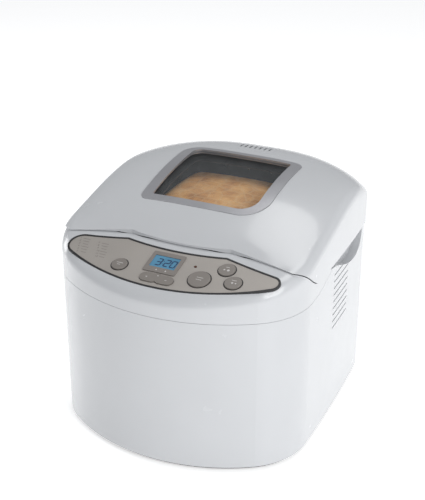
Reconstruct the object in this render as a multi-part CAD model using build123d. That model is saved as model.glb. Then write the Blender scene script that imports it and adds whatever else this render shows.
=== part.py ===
"""Bread machine: a compact countertop machine with a domed windowed lid, a removable
pan with a kneading paddle, and a belt drive from a motor in the bowed front.

Millimetres, +Z up, front towards -Y. The plan frame has its origin at the middle of the
casing's footprint; every node is then moved so that the origin is the middle of the
whole footprint, hinge knuckles included. Each node is written to parts/NODE.step.
"""
import os
from math import atan, atan2, cos, degrees, hypot, pi, radians, sin, sqrt, tan

from build123d import *

# ---------------------------------------------------------------- driving dimensions
# casing plan
width = 280.0                 # across the sides
depth = 304.0                 # front bow to back wall
front_bow = 61.0              # how far the front bows out of the corners
front_corner_radius = 74.0
side_taper = 7.0              # each side draws in by this much towards the back
back_corner_radius = 32.0
wall = 2.5                    # plastic casing wall
seam_gap = 0.4                # shadow line between casing pieces
fit_gap = 0.3                 # clearance between neighbouring pieces

# heights
foot_height = 2.5
tray_top = 5.5
shell_bottom = 5.0
base_rounding = 1.5           # on the lower edge of the casing
seam_front_z = 174.0          # seam between body shell and control deck, at the front
deck_z = 190.0                # flat top of the deck, round the oven opening
lid_bottom_z = 191.0          # lower edge of the closed lid

# seam and lid edge seen from the side
# places behind the front of the bow
seam_rise_start = 94.0
seam_rise_end = 158.0
step_side_start = 69.0        # at the sides the deck drops from the panel level behind here
step_middle_start = 78.0      # and in the middle behind here, under the lid's front edge
step_end = 114.0              # and is flat behind this line
step_side_x = 126.0           # half the width of the middle part
step_side_gap = 0.5           # between lid and deck where the two parts meet

# control panel plane
panel_slope = 16.2            # degrees
panel_setback = 42.0          # middle of the panel, behind the front of the bow
panel_ref_z = 207.9
rim_radius = 13.0             # rolled white rim in front of the panel
panel_reach_left = 113.5      # from the middle of the panel to its left tip
panel_reach_right = 120.5     # and to its right tip
panel_front_reach = 28.4      # from the middle of the panel to its front edge
panel_front_sag = 22.7        # sagitta of the front edge over a chord of 200
panel_back_reach = 25.0
panel_kink_x = 56.5
panel_kink_reach = 30.0
panel_tip_radius_left = 13.0
panel_tip_radius_right = 8.0
gasket_width = 2.3
gasket_proud = 0.3
panel_thickness = 1.8
panel_ledge = 2.5
deck_skin = 3.2

# lid
lid_overhang = 1.5
lid_wall = 3.0
lid_crown_z = 263.1
lid_crown_y = 83.0
lid_crown_run = 166.0         # from the crown forward to where both falls below are full
lid_front_fall = 40.9         # even fall of the crown line over that run
lid_nose_fall = 6.5           # and the steeper fall right at its end
lid_back_fall = 11.3          # fall of the crown line to the back of the casing
lid_side_falls = [            # behind the front of the bow -> fall from middle to side
    (69.0, -3.3), (142.0, 18.1), (212.0, 20.1), (304.0, 60.9),
]
lid_side_broad = (0.75, 2.9)  # share and power of the gentle part of that fall
lid_side_sharp = 12           # power of the rest, right at the rim
lid_edge_radius = 14.0
lid_front_bow = 4.2           # forward bow of the front edge between its two kinks
lid_kink_x = 57.0
lid_kink_setback = 80.6       # all three from the front of the bow
lid_wing_setback_left = 57.5  # where the front edge meets the sides
lid_wing_setback_right = 63.0

# window in the lid
frame_half_width = 71.0
frame_front_y = -31.0
frame_back_y = 89.0
frame_band_side = 12.5
frame_band_front = 8.0
frame_band_back = 7.0
frame_proud = 0.8
frame_thickness = 4.5
frame_corners = (8.0, 30.0, 10.0, 20.0)     # front left, front right, back right, back left
glass_thickness = 3.0
glass_recess = 1.2
inner_glass_depth = 13.0      # below the lid's outer surface

# steam vents in the lid
vent_count = 7
vent_pitch = 5.9
vent_slot = (2.2, 13.0)
vent_setback = 34.0           # middle of the slots, in front of the casing's back
vent_slant = 5.0

# hinge
hinge_reach = 7.5             # axis behind the back wall
hinge_z = 189.0
knuckle_radius = 5.2
knuckle_x = 70.0              # middle of each hinge
knuckle_length = 28.0
ear_length = 6.0
pin_radius = 2.0
pin_clearance = 0.06

# oven
oven_y = 50.0                 # middle of the oven, pan and drive
oven_half_x = 102.0
oven_half_y = 86.0
oven_corner = 34.0
oven_floor_z = 46.0
sheet = 1.2
flange_width = 6.0
heater_half_x = 92.5
heater_half_y = 79.0
heater_corner = 26.0
heater_z = 72.0
heater_radius = 3.2
heater_leg_spread = 14.0

# pan
pan_half_x = 73.0
pan_half_y = 60.0
pan_corner = 27.0
pan_bottom_z = 62.0
pan_rim_z = 194.0
pan_wall = 1.5
pan_rim_width = 2.6
collar_radius = 32.0
lug_radius = 37.0
lug_count = 4
lug_angle = 13.0
seat_inner_radius = 38.0
seat_outer_radius = 43.0
bail_radius = 2.5
bail_pivot_z = 186.0
bail_reach = 66.0
bail_corner = 14.0
loaf_top_z = 235.0
loaf_crown_radius = 520.0
loaf_shoulder = 12.0          # rounding between the loaf's sides and its crown
loaf_foot_radius = 8.5
loaf_clear_reach = 38.0       # forward of this the bail never comes down on the crust
loaf_bail_room = 1.0          # between the crust and the sweep of the bail

# drive
shaft_radius = 4.0
running_gap = 0.05
paddle_length = 30.0
motor_setback = 51.0          # motor axis behind the front of the bow
motor_radius = 35.0
motor_height = 70.0
chassis_z = 34.0
chassis_thickness = 2.0
belt_bottom_z = 14.0
belt_height = 10.0
belt_thickness = 2.2
large_pulley_radius = 52.0
motor_pulley_radius = 8.0
pulley_flange = 3.0

# keys: name -> (x, reach up the panel, radius)
round_keys = {
    "menu_button": (-45.5, -8.5, 8.3),
    "start_button": (43.2, -5.8, 11.4),
    "size_button": (64.0, 15.0, 8.8),
    "crust_button": (77.8, -1.0, 8.8),
}
key_proud = 1.4
key_gap = 0.4
key_travel = 1.5
rocker_x = 1.5
rocker_v = -17.5
rocker_half_length = 18.5
rocker_lobe_radius = 6.0
lcd_x = -1.2
lcd_v = 6.0
bezel_size = (36.5, 30.0)
glass_size = (28.5, 17.5)
glass_v = 7.0
board_depth = 13.0            # top face of the control board below the deck plane
board_thickness = 1.6

# fasteners
screw_radius = 1.75
screw_head_radius = 3.4

# ---------------------------------------------------------------- derived values
half_w, half_d = width / 2, depth / 2
seam_rise_start_y = -half_d + seam_rise_start
seam_rise_end_y = -half_d + seam_rise_end
step_side_y = -half_d + step_side_start
step_middle_y = -half_d + step_middle_start
step_back_y = -half_d + step_end
panel_ref_y = -half_d + panel_setback
lid_kink_y = -half_d + lid_kink_setback
lid_wing_y_left = -half_d + lid_wing_setback_left
lid_wing_y_right = -half_d + lid_wing_setback_right
motor_y = -half_d + motor_setback
vent_y = half_d - vent_setback
hinge_y = half_d + hinge_reach
footprint_shift = -(hinge_y + knuckle_radius - half_d) / 2
bow_radius = (half_w ** 2 + front_bow ** 2) / (2 * front_bow)
panel_plane = Plane(
    origin=(0, panel_ref_y, panel_ref_z),
    x_dir=(1, 0, 0),
    z_dir=(0, -sin(radians(panel_slope)), cos(radians(panel_slope))),
)

# places and sizes of the pieces inside
recess_depth = 9.0
cord_x, cord_z = -86.0, 34.0
gland_neck = 7.0
gland_bore = 3.6
gland_length = 9.0
tray_screws = [(-100, -90), (100, -90), (-104, 118), (104, 118)]
foot_places = [(-92, -70), (92, -70), (-96, 128), (96, 128)]
chassis_posts = [(-50, motor_y - 19), (50, motor_y - 19), (-66, oven_y + 54), (66, oven_y + 54)]
power_board_z = 14.0
power_posts = [(-112, -52), (-76, -52), (-112, -10), (-84, -22)]
led_place, led_radius = (31.2, 10.8), 1.5
board_posts = [(-62, 12), (-62, -6), (28, 19), (94, 6)]
rocker_ear_v = 6.2
rocker_pivot_depth = 5.0
switch_height = 3.2
sensor_z = 120.0
seat_z = oven_floor_z + sheet
collar_z = seat_z + 2.8
lug_top = collar_z + 3.0
bush_radius = 8.0
paddle_z = pan_bottom_z + 8.0
paddle_height = 24.0
dog_z = oven_floor_z + sheet + 3.0
oven_legs = [(x, oven_y + y) for x in (-34, 34) for y in (-48, 46)]
hinge_screw_z = 203.0
inner_half_x = 103.0
inner_front_y = -36.5
inner_back_y = 137.0
inner_flange = 4.0
inner_skirt_z = lid_bottom_z + 0.9
lid_boss_places = [(x, y) for x in (-86, 86) for y in (-12, 108)]
arm_plate = 1.8


def plane_z(y):
    """Height of the panel plane at a plan position."""
    return panel_ref_z + (y - panel_ref_y) * tan(radians(panel_slope))


# ---------------------------------------------------------------- helpers
def node(name, shape):
    """Write one node, moved to the shared origin."""
    solids = [Location((0, footprint_shift, 0)) * solid for solid in shape.solids()]
    shape = solids[0] if len(solids) == 1 else Compound(solids)
    export_step(shape, os.path.join("parts", name + ".step"))


def group(shapes):
    """Several separate solids as one node."""
    return Compound([solid for shape in shapes for solid in shape.solids()])


def plan_outline(inset):
    """Closed outline of the casing, drawn in by inset, from four kinds of tangent arc."""
    bow_r, corner_r = bow_radius - inset, front_corner_radius - inset
    back_r = back_corner_radius - inset
    bow_centre_y = -half_d + bow_radius
    # the corner circle touches the bow from inside and the side line x = half_w
    corner_x = half_w - front_corner_radius
    reach = bow_radius - front_corner_radius
    corner_y = bow_centre_y - sqrt(reach ** 2 - corner_x ** 2)
    side_run = half_d - back_corner_radius - corner_y
    side_radius = (side_run ** 2 + side_taper ** 2) / (2 * side_taper)
    side_centre_x = half_w - side_radius
    side_r = side_radius - inset
    back_y = half_d - back_corner_radius
    back_x = side_centre_x + sqrt((side_radius - back_corner_radius) ** 2 - side_run ** 2)

    bow_turn = atan2(corner_x, bow_centre_y - corner_y)
    corner_start = Vector(bow_r * sin(bow_turn), bow_centre_y - bow_r * cos(bow_turn))
    corner_turn = (bow_turn - pi / 2) / 2
    corner_mid = Vector(corner_x + corner_r * cos(corner_turn), corner_y + corner_r * sin(corner_turn))
    side_start = Vector(corner_x + corner_r, corner_y)
    side_turn = atan2(side_run, back_x - side_centre_x)
    side_end = Vector(side_centre_x + side_r * cos(side_turn), corner_y + side_r * sin(side_turn))
    side_mid = Vector(
        side_centre_x + side_r * cos(side_turn / 2), corner_y + side_r * sin(side_turn / 2))
    back_turn = (side_turn + pi / 2) / 2
    back_mid = Vector(back_x + back_r * cos(back_turn), back_y + back_r * sin(back_turn))
    back_end = Vector(back_x, back_y + back_r)

    def flip(p):
        return Vector(-p.X, p.Y)

    edges = [
        ThreePointArc(flip(corner_start), (0, bow_centre_y - bow_r), corner_start),
        ThreePointArc(corner_start, corner_mid, side_start),
        ThreePointArc(side_start, side_mid, side_end),
        ThreePointArc(side_end, back_mid, back_end),
        Line(back_end, flip(back_end)),
        ThreePointArc(flip(back_end), flip(back_mid), flip(side_end)),
        ThreePointArc(flip(side_end), flip(side_mid), flip(side_start)),
        ThreePointArc(flip(side_start), flip(corner_mid), flip(corner_start)),
    ]
    return make_face(edges)


def plan_prism(inset, low, high):
    """The casing outline, drawn in by inset, from height low to high."""
    return Pos(0, 0, low) * extrude(plan_outline(inset), high - low)


def plan_ring(outer, inner, low, high):
    return plan_prism(outer, low, high) - plan_prism(inner, low - 1, high + 1)


def side_profile(edges):
    """Solid across the whole width from a closed outline drawn as (y, z)."""
    face = Plane.YZ * make_face(edges)
    return extrude(face, width, both=True)


def box(low, high):
    """Box from its lowest to its highest corner."""
    size = [b - a for a, b in zip(low, high)]
    middle = [(a + b) / 2 for a, b in zip(low, high)]
    return Pos(*middle) * Box(*size)


def rod(x, y, low, high, radius):
    """Upright cylinder."""
    return Pos(x, y, (low + high) / 2) * Cylinder(radius, high - low)


def tube(x, y, low, high, outer, inner):
    return rod(x, y, low, high, outer) - rod(x, y, low - 1, high + 1, inner)


def rounded_prism(half_x, half_y, corner, low, high, x=0.0, y=0.0):
    sketch = RectangleRounded(2 * half_x, 2 * half_y, corner)
    return Pos(x, y, low) * extrude(sketch, high - low)


def on_panel(shape, n=0.0):
    """Place a shape drawn on the panel plane, n above it."""
    return panel_plane * (Pos(0, 0, n) * shape)


def panel_slab(sketch, low, high):
    """Extrude a sketch on the panel plane between two levels of its normal."""
    return on_panel(extrude(sketch, high - low), low)


# ---------------------------------------------------------------- lid surface
def side_fall(y):
    """Fall of the dome from its middle to its sides: a smooth curve through the table."""
    setback, total = y + half_d, 0.0
    for place, fall in lid_side_falls:
        weight = 1.0
        for other, _ in lid_side_falls:
            if other != place:
                weight *= (setback - other) / (place - other)
        total += fall * weight
    return total


def dome_height(x, y):
    """Outer surface of the lid: a crown line that falls to the front and back, and sides
    that fall slowly at first and then sharply."""
    if y < lid_crown_y:
        forward = (lid_crown_y - y) / lid_crown_run
        crown = lid_crown_z - lid_front_fall * forward ** 2 - lid_nose_fall * forward ** 6
    else:
        crown = lid_crown_z - lid_back_fall * ((y - lid_crown_y) / (half_d - lid_crown_y)) ** 3
    u = abs(x) / half_w
    share, power = lid_side_broad
    return crown - side_fall(y) * (share * u ** power + (1 - share) * u ** lid_side_sharp)


def dome_face(drop):
    """The lid surface, lowered by drop."""
    nx, ny = 30, 26
    x_reach, y_low, y_high = half_w + 6, step_side_y - 18, half_d + 8
    points = []
    for j in range(ny + 1):
        y = y_low + (y_high - y_low) * j / ny
        xs = [-x_reach + 2 * x_reach * i / nx for i in range(nx + 1)]
        points.append([Vector(x, y, dome_height(x, y) - drop) for x in xs])
    return Face.make_surface_from_array_of_points(points, tol=0.02, min_deg=3, max_deg=5)


def dome_slab(drop, thickness):
    """A layer that follows the lid surface, from drop below it, thickness deep."""
    return extrude(dome_face(drop), thickness, (0, 0, -1))


def lid_front_line(back_off):
    """Plan region behind the lid's front edge, moved back by back_off."""
    kink_y = lid_kink_y + back_off
    wing_x, far = half_w + 12, half_d + 20
    left_kink, right_kink = Vector(-lid_kink_x, kink_y), Vector(lid_kink_x, kink_y)
    middle = Vector(0, kink_y - lid_front_bow)
    left_wing = Vector(-wing_x, lid_wing_y_left + back_off)
    right_wing = Vector(wing_x, lid_wing_y_right + back_off)
    hollow = Vector(0, 1.8)
    return make_face([
        ThreePointArc(left_kink, middle, right_kink),
        ThreePointArc(right_kink, (right_kink + right_wing) / 2 + hollow, right_wing),
        Line(right_wing, Vector(wing_x, far)),
        Line(Vector(wing_x, far), Vector(-wing_x, far)),
        Line(Vector(-wing_x, far), left_wing),
        ThreePointArc(left_wing, (left_wing + left_kink) / 2 + hollow, left_kink),
    ])


def step_form(start_y, lift):
    """Everything above one step profile that leaves the panel plane at start_y."""
    top = 300.0
    far = half_d + 20
    front = Vector(-far, plane_z(-far) + lift)
    high = Vector(start_y, plane_z(start_y) + lift)
    low = Vector(step_back_y, deck_z + lift)
    fall = tan(radians(panel_slope)) * 0.2 - 0.4
    return side_profile([
        Line(front, high),
        Spline(high, low, tangents=[(1, fall), (1, 0)], tangent_scalars=[0.9, 0.9]),
        Line(low, Vector(far, low.Y)),
        Line(Vector(far, low.Y), Vector(far, top)),
        Line(Vector(far, top), Vector(-far, top)),
        Line(Vector(-far, top), front),
    ])


def above_step(lift, spread=0.0):
    """Everything above the line where lid and deck part, lifted by lift."""
    half_x = step_side_x + spread
    middle = box((-half_x, -500, 0), (half_x, 500, 400))
    return (step_form(step_middle_y, lift) & middle) + (step_form(step_side_y, lift) - middle)


def below_seam(lower):
    """Everything below the seam between body shell and deck, lowered by lower."""
    bottom = -10.0
    front = -half_d - 20
    start = Vector(seam_rise_start_y, seam_front_z - lower)
    end = Vector(seam_rise_end_y, deck_z - lower)
    far = half_d + 20
    return side_profile([
        Line(Vector(front, bottom), Vector(front, start.Y)),
        Line(Vector(front, start.Y), start),
        Spline(start, end, tangents=[(1, 0), (1, 0.55)]),
        Line(end, Vector(far, end.Y)),
        Line(Vector(far, end.Y), Vector(far, bottom)),
        Line(Vector(far, bottom), Vector(front, bottom)),
    ])


# ---------------------------------------------------------------- finger recess
def recess_profile(grow):
    """Leaf-shaped hollow under the lid's edge, for the fingers that lift it."""
    start = Vector(2 - grow, deck_z + 6)
    points = [
        Vector(2 - grow, deck_z - 3 - grow),
        Vector(48, 172 - grow),
        Vector(86, 164 - grow),
        Vector(106 + grow * 0.7, 169 - grow * 0.7),
        Vector(114 + grow, deck_z - 4),
    ]
    end = Vector(114 + grow, deck_z + 6)
    return [
        Line(start, points[0]),
        Spline(*points),
        Line(points[-1], end),
        Line(end, start),
    ]


def recess_cut(grow, reach, top):
    """The finger hollows on both sides, reach deep from the outside."""
    prism = side_profile(recess_profile(grow))
    outer = plan_prism(-5, 150, top)
    inner = plan_prism(reach, 149, top + 1)
    return prism & (outer - inner)


# ---------------------------------------------------------------- casing
def make_body_shell():
    outer = plan_prism(0, shell_bottom, deck_z)
    outer = fillet(outer.edges().group_by(Axis.Z)[0], base_rounding)
    shell = (outer - plan_prism(wall, shell_bottom - 1, deck_z + 1)) & below_seam(seam_gap)
    pocket = recess_cut(wall, recess_depth + 2, deck_z - seam_gap) & plan_prism(wall / 2, 100, 200)
    shell = shell + pocket
    shell = shell - recess_cut(0, recess_depth, 200)
    # horizontal ventilation slots low on the right side
    for k in range(9):
        z = 110 + 8 * k
        shell = shell - box((half_w - 12, 12, z), (half_w + 5, 62, z + 1.6))
    # opening for the rear grille and for the cord inlet
    shell = shell - box((-62, half_d - 6, 64), (62, half_d + 5, 126))
    shell = shell - Pos(cord_x, half_d, cord_z) * (Rot(90, 0, 0) * Cylinder(gland_neck, 20))
    for side in (-1, 1):
        for dx in (-7, 7):
            x = side * knuckle_x + dx
            shell = shell - Pos(x, half_d, 170) * (Rot(90, 0, 0) * Cylinder(screw_radius, 12))
    # screw bosses that the tray is fastened to
    for x, y in tray_screws:
        shell = shell + tube(x, y, tray_top + fit_gap, 30, 5, screw_radius)
        shell = shell + boss_web(x, y)
    return shell


def boss_web(x, y):
    """Rib from a screw boss outwards to the casing wall."""
    angle = degrees(atan2(y, x))
    rib = Pos(x, y, 22) * (Rot(0, 0, angle) * (Pos(30, 0, 0) * Box(52, 2, 13)))
    return rib & plan_prism(wall / 2, 8, 40)


def make_base_tray():
    tray = plan_prism(3.5, foot_height, tray_top)
    tray = tray + (plan_ring(3.5, 5.5, tray_top, 14))
    for x, y in tray_screws:
        tray = tray - rod(x, y, 0, 30, screw_radius + 0.2)
        tray = tray - rod(x, y, 0, foot_height + 1, screw_head_radius + 0.3)
        tray = tray - rod(x, y, tray_top, 30, 6.5)
        tray = tray - (plan_prism(3, tray_top, 15) & box((x - 8, y - 8, tray_top - 0.1), (x + 8, y + 8, 15)))
    for x, y in foot_places:
        tray = tray - rod(x, y, 0, 20, 4.0)
    for x, y in chassis_posts:
        tray = tray + tube(x, y, tray_top - 1, chassis_z, 5, screw_radius)
    for k in range(12):
        y = -20 + 9 * k
        tray = tray - box((-80, y, 0), (-50, y + 3, 10))
        tray = tray - box((60, y, 0), (90, y + 3, 10))
    for x, y in power_posts:
        tray = tray + rod(x, y, tray_top - 1, power_board_z, 3.5)
    return tray


def make_feet():
    return group(
        rod(x, y, 0, foot_height, 9.0) + rod(x, y, foot_height - 1, tray_top, 3.95)
        for x, y in foot_places)


def make_rear_grille():
    plate = box((-61.7, half_d - wall, 64.3), (61.7, half_d - 0.4, 125.7))
    for k in range(11):
        plate = plate - box((-54, half_d - 8, 69 + 5 * k), (54, half_d + 4, 71.4 + 5 * k))
    return plate + box((-1.5, half_d - wall, 66), (1.5, half_d - 0.6, 124))


def make_cord_gland():
    gland = Cylinder(gland_neck - 0.1, gland_length)
    gland = gland + Pos(0, 0, gland_length / 2 - 0.6) * Cylinder(gland_neck + 2.5, 1.8)
    inner_ring_top = gland_length / 2 - 1.6 - wall - fit_gap
    gland = gland + Pos(0, 0, inner_ring_top - 0.6) * Cylinder(gland_neck + 1.0, 1.2)
    gland = gland - Cylinder(gland_bore, 30)
    place = Pos(cord_x, half_d - gland_length / 2 + 1.6, cord_z) * Rot(-90, 0, 0)
    return place * gland


# ---------------------------------------------------------------- control deck
def deck_form(inset, drop):
    """Outer form of the deck, drawn in by inset and lowered by drop, with its rolled rim."""
    form = plan_prism(inset, 150, 340)
    form = split(form, bisect_by=panel_plane.offset(-drop), keep=Keep.BOTTOM)
    top = form.faces().sort_by(Axis(panel_plane.origin, panel_plane.z_dir))[-1]
    form = fillet(top.edges(), rim_radius - inset)
    return form & box((-half_w - 5, -half_d - 5, 150), (half_w + 5, 40, 240))


def panel_outline(grow):
    """Lens-shaped outline of the control panel on its plane, grown by grow."""
    chord = 100.0
    front_r = (chord ** 2 + panel_front_sag ** 2) / (2 * panel_front_sag) + grow
    centre_v = front_r - panel_front_reach - grow
    kink_v = panel_kink_reach + grow

    def tip_points(reach, tip_radius, side):
        """Where a tip's arc leaves the front arc, its middle and its end, and the wing."""
        tip_r, tip_x = tip_radius + grow, reach - tip_radius
        tip_v = centre_v - sqrt((front_r - tip_r) ** 2 - tip_x ** 2)
        turn = atan2(tip_x, centre_v - tip_v)
        rise = atan2(kink_v - tip_v - tip_r, tip_x - panel_kink_x)
        nose = radians(5)
        high_x, high_v = tip_x + tip_r * sin(rise), tip_v + tip_r * cos(rise)
        return [
            Vector(side * front_r * sin(turn), centre_v - front_r * cos(turn)),
            Vector(side * (tip_x + tip_r * cos(nose)), tip_v + tip_r * sin(nose)),
            Vector(side * high_x, high_v),
            Vector(side * (panel_kink_x + high_x) / 2, (kink_v + high_v) / 2 - 0.6),
            Vector(side * panel_kink_x, kink_v),
        ]

    low, tip, high, wing, kink = tip_points(panel_reach_right, panel_tip_radius_right, 1)
    low_l, tip_l, high_l, wing_l, kink_l = tip_points(panel_reach_left, panel_tip_radius_left, -1)
    return make_face([
        ThreePointArc(low_l, (0, -panel_front_reach - grow), low),
        ThreePointArc(low, tip, high),
        ThreePointArc(high, wing, kink),
        ThreePointArc(kink, (0, panel_back_reach + grow), kink_l),
        ThreePointArc(kink_l, wing_l, high_l),
        ThreePointArc(high_l, tip_l, low_l),
    ])


def make_control_deck():
    outer = deck_form(0, 0)
    inner = deck_form(wall, deck_skin) & box((-200, -200, 100), (200, 200, 230))
    behind = extrude(lid_front_line(-0.6), 300)
    behind_inner = extrude(lid_front_line(-0.6 - wall), 300)
    outer = outer - (behind & above_step(0))
    inner = inner - (behind_inner & above_step(-wall))
    inner = inner - box((-200, step_back_y + 10, deck_z - wall), (200, 200, 230))
    shell = outer - inner
    shell = shell - below_seam(0)
    plate = plan_prism(wall + fit_gap, deck_z - wall, deck_z)
    plate = plate & box((-200, step_back_y, 0), (200, 200, 300))
    deck = shell + plate
    deck = deck - recess_cut(wall + fit_gap, recess_depth + 2 + fit_gap, 200)
    opening = rounded_prism(oven_half_x, oven_half_y, oven_corner, 150, 230, 0, oven_y)
    deck = deck - opening
    # recess for gasket and panel, and the opening behind the panel
    deck = deck - panel_slab(panel_outline(gasket_width + 0.1), -panel_thickness, 30)
    deck = deck - panel_slab(panel_outline(-panel_ledge), -12, 30)
    return deck


def make_panel_gasket():
    ring = panel_outline(gasket_width) - panel_outline(0.05)
    return panel_slab(ring, -panel_thickness, gasket_proud)


def make_control_panel():
    panel = panel_slab(panel_outline(0), -panel_thickness, 0)
    for x, v, radius in round_keys.values():
        panel = panel - panel_slab(Pos(x, v) * Circle(radius + key_gap), -9, 5)
    panel = panel - panel_slab(Pos(rocker_x, rocker_v) * rocker_sketch(key_gap), -9, 5)
    panel = panel - panel_slab(Pos(lcd_x, lcd_v) * Rectangle(bezel_size[0] - 3, bezel_size[1] - 3), -9, 5)
    panel = panel - panel_slab(Pos(*led_place) * Circle(led_radius + 0.1), -9, 5)
    for x, v in board_posts:
        post = Circle(3.2) - Circle(1.2)
        panel = panel + panel_slab(Pos(x, v) * post, -board_depth, -panel_thickness)
    for side in (-1, 1):
        v = rocker_v + side * rocker_ear_v
        ear = Pos(rocker_x, v) * Rectangle(7, 2)
        ear = panel_slab(ear, -rocker_pivot_depth - 3, -panel_thickness)
        hole = Pos(rocker_x, v, -rocker_pivot_depth) * (Rot(90, 0, 0) * Cylinder(1.25, 6))
        panel = panel + (ear - panel_plane * hole)
    return panel


def rocker_sketch(grow):
    """Two round-ended lobes that overlap, with a small crest between them."""
    lobe = RectangleRounded(
        rocker_half_length * 1.1 + 2 * grow,
        2 * rocker_lobe_radius + 2 * grow,
        rocker_lobe_radius + grow - 0.01,
    )
    lobes = (Pos(-rocker_half_length * 0.46, 0) * lobe) + (Pos(rocker_half_length * 0.46, 0) * lobe)
    return lobes + Pos(0, 3.4) * Circle(3.6 + grow)


def make_round_key(x, v, radius):
    cap = Pos(x, v) * Circle(radius)
    key = panel_slab(cap, -panel_thickness - 1.9, key_proud)
    edge = key.faces().sort_by(Axis(panel_plane.origin, panel_plane.z_dir))[-1].edges()
    key = fillet(edge, 0.6)
    skirt = Pos(x, v) * Circle(radius + 1.2)
    key = key + panel_slab(skirt, -panel_thickness - 1.9, -panel_thickness - key_gap)
    stem_end = -board_depth + switch_height + key_travel + 0.5
    stem = panel_slab(Pos(x, v) * Circle(1.8), stem_end, -panel_thickness - 1.5)
    return key + stem


def make_timer_rocker():
    cap = panel_slab(Pos(rocker_x, rocker_v) * rocker_sketch(0), fit_gap - panel_thickness, 1.1)
    web_outline = Pos(rocker_x, rocker_v) * Rectangle(5, 2 * rocker_ear_v - 2.8)
    web = panel_slab(web_outline, -rocker_pivot_depth - 1.8, -1.0)
    pin = Pos(rocker_x, rocker_v, -rocker_pivot_depth) * (Rot(90, 0, 0) * Cylinder(1.2, 2 * rocker_ear_v + 2))
    feet = [
        panel_slab(Pos(rocker_x + side * 9, rocker_v) * Circle(1.6), -board_depth + switch_height + 1.2, -1.0)
        for side in (-1, 1)]
    return cap + web + panel_plane * pin + feet[0] + feet[1]


def make_lcd_bezel():
    outer = RectangleRounded(*bezel_size, 1.6)
    neck = Rectangle(bezel_size[0] - 3.2, bezel_size[1] - 3.2)
    bezel = panel_slab(Pos(lcd_x, lcd_v) * outer, 0, 1.0)
    bezel = bezel + panel_slab(Pos(lcd_x, lcd_v) * neck, -3.0, 0.5)
    window = Pos(lcd_x, glass_v) * Rectangle(*glass_size)
    return bezel - panel_slab(window, -10, 5)


def make_lcd_lens():
    window = Pos(lcd_x, glass_v) * Rectangle(glass_size[0] - 0.1, glass_size[1] - 0.1)
    return panel_slab(window, -1.2, 0.4)


def make_lcd_module():
    module = Pos(lcd_x, glass_v) * Rectangle(glass_size[0] + 3, glass_size[1] + 4)
    low = panel_slab(module, -board_depth, -3.3)
    glass = Pos(lcd_x, glass_v) * Rectangle(glass_size[0] - 1, glass_size[1] - 1)
    return low + panel_slab(glass, -4, -1.4)


def make_indicator_led():
    body = panel_slab(Pos(*led_place) * Circle(led_radius), -board_depth + 3, 0.3)
    return body + panel_slab(Pos(*led_place) * Circle(2.0), -board_depth, -board_depth + 3.2)


def make_control_board():
    sketch = Pos(16, 4) * Rectangle(168, 36)
    board = panel_slab(sketch & panel_outline(-7), -board_depth - board_thickness, -board_depth)
    for x, v in board_posts:
        board = board - panel_slab(Pos(x, v) * Circle(1.3), -20, -5)
    chips = [(-30, 8, 12, 12, 2.4), (24, -6, 16, 8, 2.0), (-34, -14, 8, 10, 4.0)]
    for x, v, a, b, h in chips:
        low = -board_depth - board_thickness - h
        board = board + panel_slab(Pos(x, v) * Rectangle(a, b), low, low + h + 0.5)
    return board


def switch_places():
    keys = [(x, v) for x, v, radius in round_keys.values()]
    return keys + [(rocker_x - 9, rocker_v), (rocker_x + 9, rocker_v)]


def make_key_switches():
    return group(
        panel_slab(Pos(x, v) * Rectangle(6, 6), -board_depth, -board_depth + 2.2)
        + panel_slab(Pos(x, v) * Circle(1.7), -board_depth + 1.5, -board_depth + switch_height)
        for x, v in switch_places())


def make_board_screws():
    screws = []
    for x, v in board_posts:
        head = panel_slab(Pos(x, v) * Circle(2.2), -board_depth - board_thickness - 1.6, -board_depth - board_thickness)
        stem = panel_slab(Pos(x, v) * Circle(1.15), -board_depth - board_thickness - 1, -board_depth + 6)
        screws.append(head + stem)
    return group(screws)


# ---------------------------------------------------------------- oven
def make_oven_chamber():
    outer = rounded_prism(
        oven_half_x - fit_gap, oven_half_y - fit_gap, oven_corner - fit_gap,
        oven_floor_z, deck_z, 0, oven_y)
    t = sheet + fit_gap
    inner = rounded_prism(
        oven_half_x - t, oven_half_y - t, oven_corner - t, oven_floor_z + sheet, 300, 0, oven_y)
    chamber = outer - inner
    low, high = deck_z - wall - sheet - 0.0, deck_z - wall
    flange = rounded_prism(
        oven_half_x + flange_width, oven_half_y + flange_width, oven_corner + 3, low, high, 0, oven_y)
    flange = flange - inner
    flange = flange & plan_prism(wall + recess_depth + 3.5, 0, 300)
    chamber = chamber + flange
    chamber = chamber - rod(0, oven_y, 0, 60, 16)
    for side in (-1, 1):
        bore = Rot(0, 90, 0) * Cylinder(heater_radius + 0.3, 12)
        hole = Pos(oven_half_x, oven_y + side * heater_leg_spread, heater_z) * bore
        chamber = chamber - hole
    chamber = chamber - Pos(-30, oven_y - oven_half_y, sensor_z) * (Rot(90, 0, 0) * Cylinder(3.1, 12))
    return chamber


def make_heating_element():
    y0, hx, hy = oven_y, heater_half_x, heater_half_y
    end_x = oven_half_x + 11
    points = [
        (end_x, y0 - heater_leg_spread, heater_z),
        (hx, y0 - heater_leg_spread, heater_z),
        (hx, y0 - hy, heater_z),
        (-hx, y0 - hy, heater_z),
        (-hx, y0 + hy, heater_z),
        (hx, y0 + hy, heater_z),
        (hx, y0 + heater_leg_spread, heater_z),
        (end_x, y0 + heater_leg_spread, heater_z),
    ]
    radii = [7, heater_corner, heater_corner, heater_corner, heater_corner, 7]
    path = FilletPolyline(*points, radius=radii)
    section = Plane(origin=path @ 0, z_dir=path % 0) * Circle(heater_radius)
    return sweep(section, path=path)


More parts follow.
